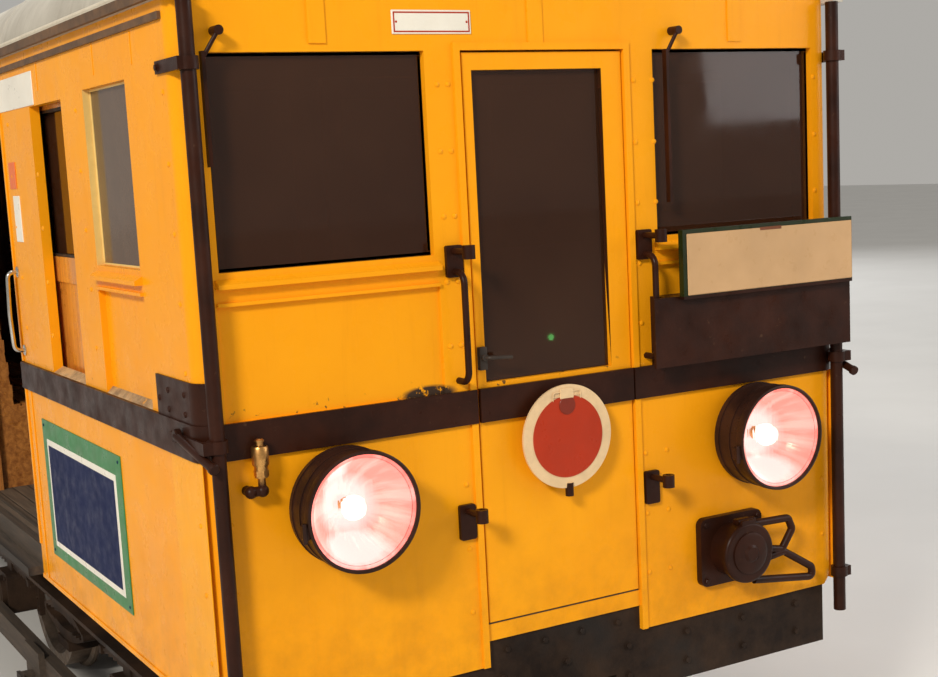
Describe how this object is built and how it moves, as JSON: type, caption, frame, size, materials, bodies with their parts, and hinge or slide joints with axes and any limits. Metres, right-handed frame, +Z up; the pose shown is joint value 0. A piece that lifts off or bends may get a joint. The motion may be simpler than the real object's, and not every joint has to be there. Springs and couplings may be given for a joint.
{
  "type": "vintage metro train car",
  "caption": "Small-profile underground motor car with a flat yellow front, end door, drum headlights, sliding double doors and two bogies.",
  "frame": {"origin": "below the middle of the car, at the level of the wheel flange tips", "axes": "+X forward, +Y to the car's left, +Z up"},
  "size_m": [13.36, 2.49, 3.21],
  "materials": {
    "body_yellow": "gloss",
    "band_black": "gloss",
    "roof_grey": "satin",
    "lamp_black": "gloss",
    "lamp_glass": "gloss",
    "pane": "gloss",
    "disc_paint": "satin",
    "board_paint": "satin",
    "brass": "satin",
    "varnished_wood": "gloss",
    "floor_boards": "matte",
    "bright_tube": "polished",
    "desk_metal": "satin",
    "sill_metal": "satin",
    "underframe_black": "matte",
    "wheel_steel": "satin",
    "oily_wood": "matte"
  },
  "bodies": {
    "body": {"floor": "floor_boards", "sole_bars": "underframe_black", "cross_bearers": "underframe_black", "side_wall_right": "body_yellow", "side_wall_left": "body_yellow", "wall_posts": "varnished_wood", "wall_linings": "varnished_wood", "cantrails": "body_yellow", "roof": "roof_grey", "end_wall_front": "body_yellow", "end_wall_rear": "body_yellow", "window_glass": "pane", "waist_band": "band_black", "corner_poles": "band_black", "corner_plates": "band_black", "headlight_drums": "lamp_black", "headlight_glass": "lamp_glass", "destination_boards": "board_paint", "board_holders": "band_black", "gate_brackets": "band_black", "air_cocks": "brass", "jumper_sockets": "band_black", "wipers": "band_black", "door_sills": "sill_metal", "cab_partitions": "varnished_wood", "driver_desks": "desk_metal", "benches": "varnished_wood", "grab_poles": "bright_tube", "underfloor_boxes": "underframe_black", "air_reservoirs": "underframe_black"},
    "end_door_front": {"end_door_front": "body_yellow", "signal_disc": "disc_paint"},
    "end_door_rear": {"end_door_rear": "body_yellow"},
    "cab_door_front": {"cab_door_front": "varnished_wood"},
    "cab_door_rear": {"cab_door_rear": "varnished_wood"},
    "coupler_front": {"coupler_front": "underframe_black"},
    "coupler_rear": {"coupler_rear": "underframe_black"},
    "bogie_front": {"bogie_frame_front": "underframe_black", "spring_gear_front": "underframe_black", "brake_gear_front": "underframe_black", "motor_front": "underframe_black", "collector_gear_front": "oily_wood"},
    "bogie_rear": {"bogie_frame_rear": "underframe_black", "spring_gear_rear": "underframe_black", "brake_gear_rear": "underframe_black", "motor_rear": "underframe_black", "collector_gear_rear": "oily_wood"},
    "wheelset_1": {"wheelset_1": "wheel_steel"},
    "wheelset_2": {"wheelset_2": "wheel_steel"},
    "wheelset_3": {"wheelset_3": "wheel_steel"},
    "wheelset_4": {"wheelset_4": "wheel_steel"},
    "door_right_1": {"door_right_1": "varnished_wood"},
    "door_right_2": {"door_right_2": "varnished_wood"},
    "door_right_3": {"door_right_3": "varnished_wood"},
    "door_right_4": {"door_right_4": "varnished_wood"},
    "door_left_1": {"door_left_1": "varnished_wood"},
    "door_left_2": {"door_left_2": "varnished_wood"},
    "door_left_3": {"door_left_3": "varnished_wood"},
    "door_left_4": {"door_left_4": "varnished_wood"}
  },
  "joints": [
    {"name": "end_door_front_swing", "type": "hinge", "parent": "body", "child": "end_door_front", "pos_m": [6.279, 0.287, 1.8], "axis": [0, 0, -1], "range_deg": [0, 90]},
    {"name": "end_door_rear_swing", "type": "hinge", "parent": "body", "child": "end_door_rear", "pos_m": [-6.279, -0.287, 1.8], "axis": [0, 0, -1], "range_deg": [0, 90]},
    {"name": "cab_door_front_swing", "type": "hinge", "parent": "body", "child": "cab_door_front", "pos_m": [5.319, 0.287, 1.8], "axis": [0, 0, -1], "range_deg": [0, 90]},
    {"name": "cab_door_rear_swing", "type": "hinge", "parent": "body", "child": "cab_door_rear", "pos_m": [-5.319, -0.287, 1.8], "axis": [0, 0, -1], "range_deg": [0, 90]},
    {"name": "coupler_front_swing", "type": "hinge", "parent": "body", "child": "coupler_front", "pos_m": [5.93, 0, 0.64], "axis": [0, 0, 1], "range_deg": [-12, 12]},
    {"name": "coupler_rear_swing", "type": "hinge", "parent": "body", "child": "coupler_rear", "pos_m": [-5.93, 0, 0.64], "axis": [0, 0, 1], "range_deg": [-12, 12]},
    {"name": "bogie_front_yaw", "type": "hinge", "parent": "body", "child": "bogie_front", "pos_m": [3.9, 0, 0.707], "axis": [0, 0, 1], "range_deg": [-8, 8]},
    {"name": "bogie_rear_yaw", "type": "hinge", "parent": "body", "child": "bogie_rear", "pos_m": [-3.9, 0, 0.707], "axis": [0, 0, 1], "range_deg": [-8, 8]},
    {"name": "wheelset_1_turn", "type": "hinge", "parent": "bogie_front", "child": "wheelset_1", "pos_m": [4.85, 0, 0.443], "axis": [0, 1, 0], "continuous": true},
    {"name": "wheelset_2_turn", "type": "hinge", "parent": "bogie_front", "child": "wheelset_2", "pos_m": [2.95, 0, 0.443], "axis": [0, 1, 0], "continuous": true},
    {"name": "wheelset_3_turn", "type": "hinge", "parent": "bogie_rear", "child": "wheelset_3", "pos_m": [-2.95, 0, 0.443], "axis": [0, 1, 0], "continuous": true},
    {"name": "wheelset_4_turn", "type": "hinge", "parent": "bogie_rear", "child": "wheelset_4", "pos_m": [-4.85, 0, 0.443], "axis": [0, 1, 0], "continuous": true},
    {"name": "door_right_1_slide", "type": "slide", "parent": "body", "child": "door_right_1", "axis": [-1, 0, 0], "range_m": [0, 0.845]},
    {"name": "door_right_2_slide", "type": "slide", "parent": "body", "child": "door_right_2", "axis": [1, 0, 0], "range_m": [0, 0.845]},
    {"name": "door_right_3_slide", "type": "slide", "parent": "body", "child": "door_right_3", "axis": [1, 0, 0], "range_m": [0, 0.845]},
    {"name": "door_right_4_slide", "type": "slide", "parent": "body", "child": "door_right_4", "axis": [-1, 0, 0], "range_m": [0, 0.845]},
    {"name": "door_left_1_slide", "type": "slide", "parent": "body", "child": "door_left_1", "axis": [1, 0, 0], "range_m": [0, 0.845]},
    {"name": "door_left_2_slide", "type": "slide", "parent": "body", "child": "door_left_2", "axis": [-1, 0, 0], "range_m": [0, 0.845]},
    {"name": "door_left_3_slide", "type": "slide", "parent": "body", "child": "door_left_3", "axis": [1, 0, 0], "range_m": [0, 0.845]},
    {"name": "door_left_4_slide", "type": "slide", "parent": "body", "child": "door_left_4", "axis": [-1, 0, 0], "range_m": [0, 0.845]}
  ]
}
